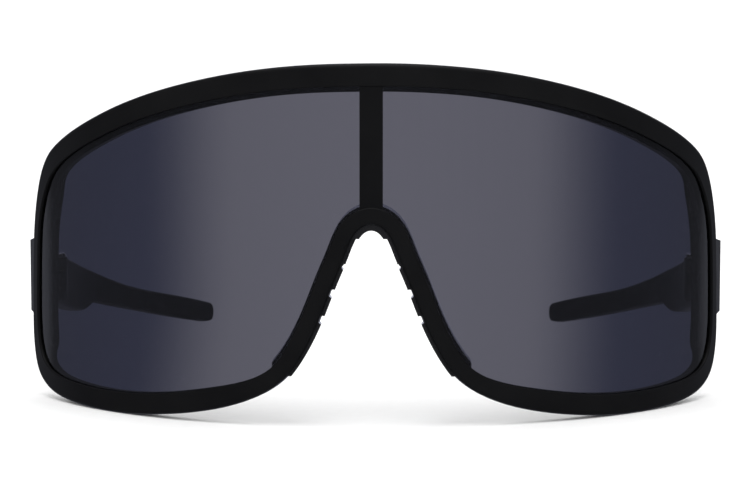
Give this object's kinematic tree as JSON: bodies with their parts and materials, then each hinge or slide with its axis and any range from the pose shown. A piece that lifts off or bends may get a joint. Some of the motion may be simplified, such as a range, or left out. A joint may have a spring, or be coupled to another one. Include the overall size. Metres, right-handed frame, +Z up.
{
  "type": "sport sunglasses",
  "caption": "Wraparound sport sunglasses with a one-piece cylindrical smoke shield in a full matte black rim, a rubber nose saddle and folding temples.",
  "frame": {"origin": "on the floor plane midway between the two sides and midway from the front of the rim to the temple tips", "axes": "+X to the wearer's left, -Y the way the lens faces, +Z up, standing on the rim's two lower lobes and both temple tips"},
  "size_m": [0.1462, 0.1692, 0.07],
  "materials": {
    "frame_plastic": "fine matte black",
    "smoke_lens": "polished polycarbonate with a blue-grey smoke tint",
    "bar_plastic": "satin black",
    "pad_rubber": "soft semi-gloss smoky black",
    "tip_rubber": "soft matte black",
    "inlay_plastic": "blank dark satin plate with a faint warm tint",
    "hinge_metal": "satin",
    "screw_metal": "bright satin"
  },
  "bodies": {
    "front": {"front_frame": "frame_plastic", "lens": "smoke_lens", "centre_bar": "bar_plastic", "nose_pad": "pad_rubber", "hinge_front_leaf_left": "hinge_metal", "hinge_screw_left": "screw_metal", "hinge_front_rivets_left": "screw_metal", "hinge_front_leaf_right": "hinge_metal", "hinge_screw_right": "screw_metal", "hinge_front_rivets_right": "screw_metal"},
    "temple_left": {"temple_arm_left": "frame_plastic", "temple_tip_left": "tip_rubber", "temple_inlay_left": "inlay_plastic", "hinge_temple_leaf_left": "hinge_metal", "hinge_temple_rivets_left": "screw_metal"},
    "temple_right": {"temple_arm_right": "frame_plastic", "temple_tip_right": "tip_rubber", "temple_inlay_right": "inlay_plastic", "hinge_temple_leaf_right": "hinge_metal", "hinge_temple_rivets_right": "screw_metal"}
  },
  "joints": [
    {"name": "left_temple_fold", "type": "hinge", "parent": "front", "child": "temple_left", "pos_m": [0.06707, -0.03136, 0.0235], "axis": [0, 0, 1], "range_deg": [0, 90]},
    {"name": "right_temple_fold", "type": "hinge", "parent": "front", "child": "temple_right", "pos_m": [-0.06707, -0.03136, 0.0235], "axis": [0, 0, -1], "range_deg": [0, 79]}
  ]
}
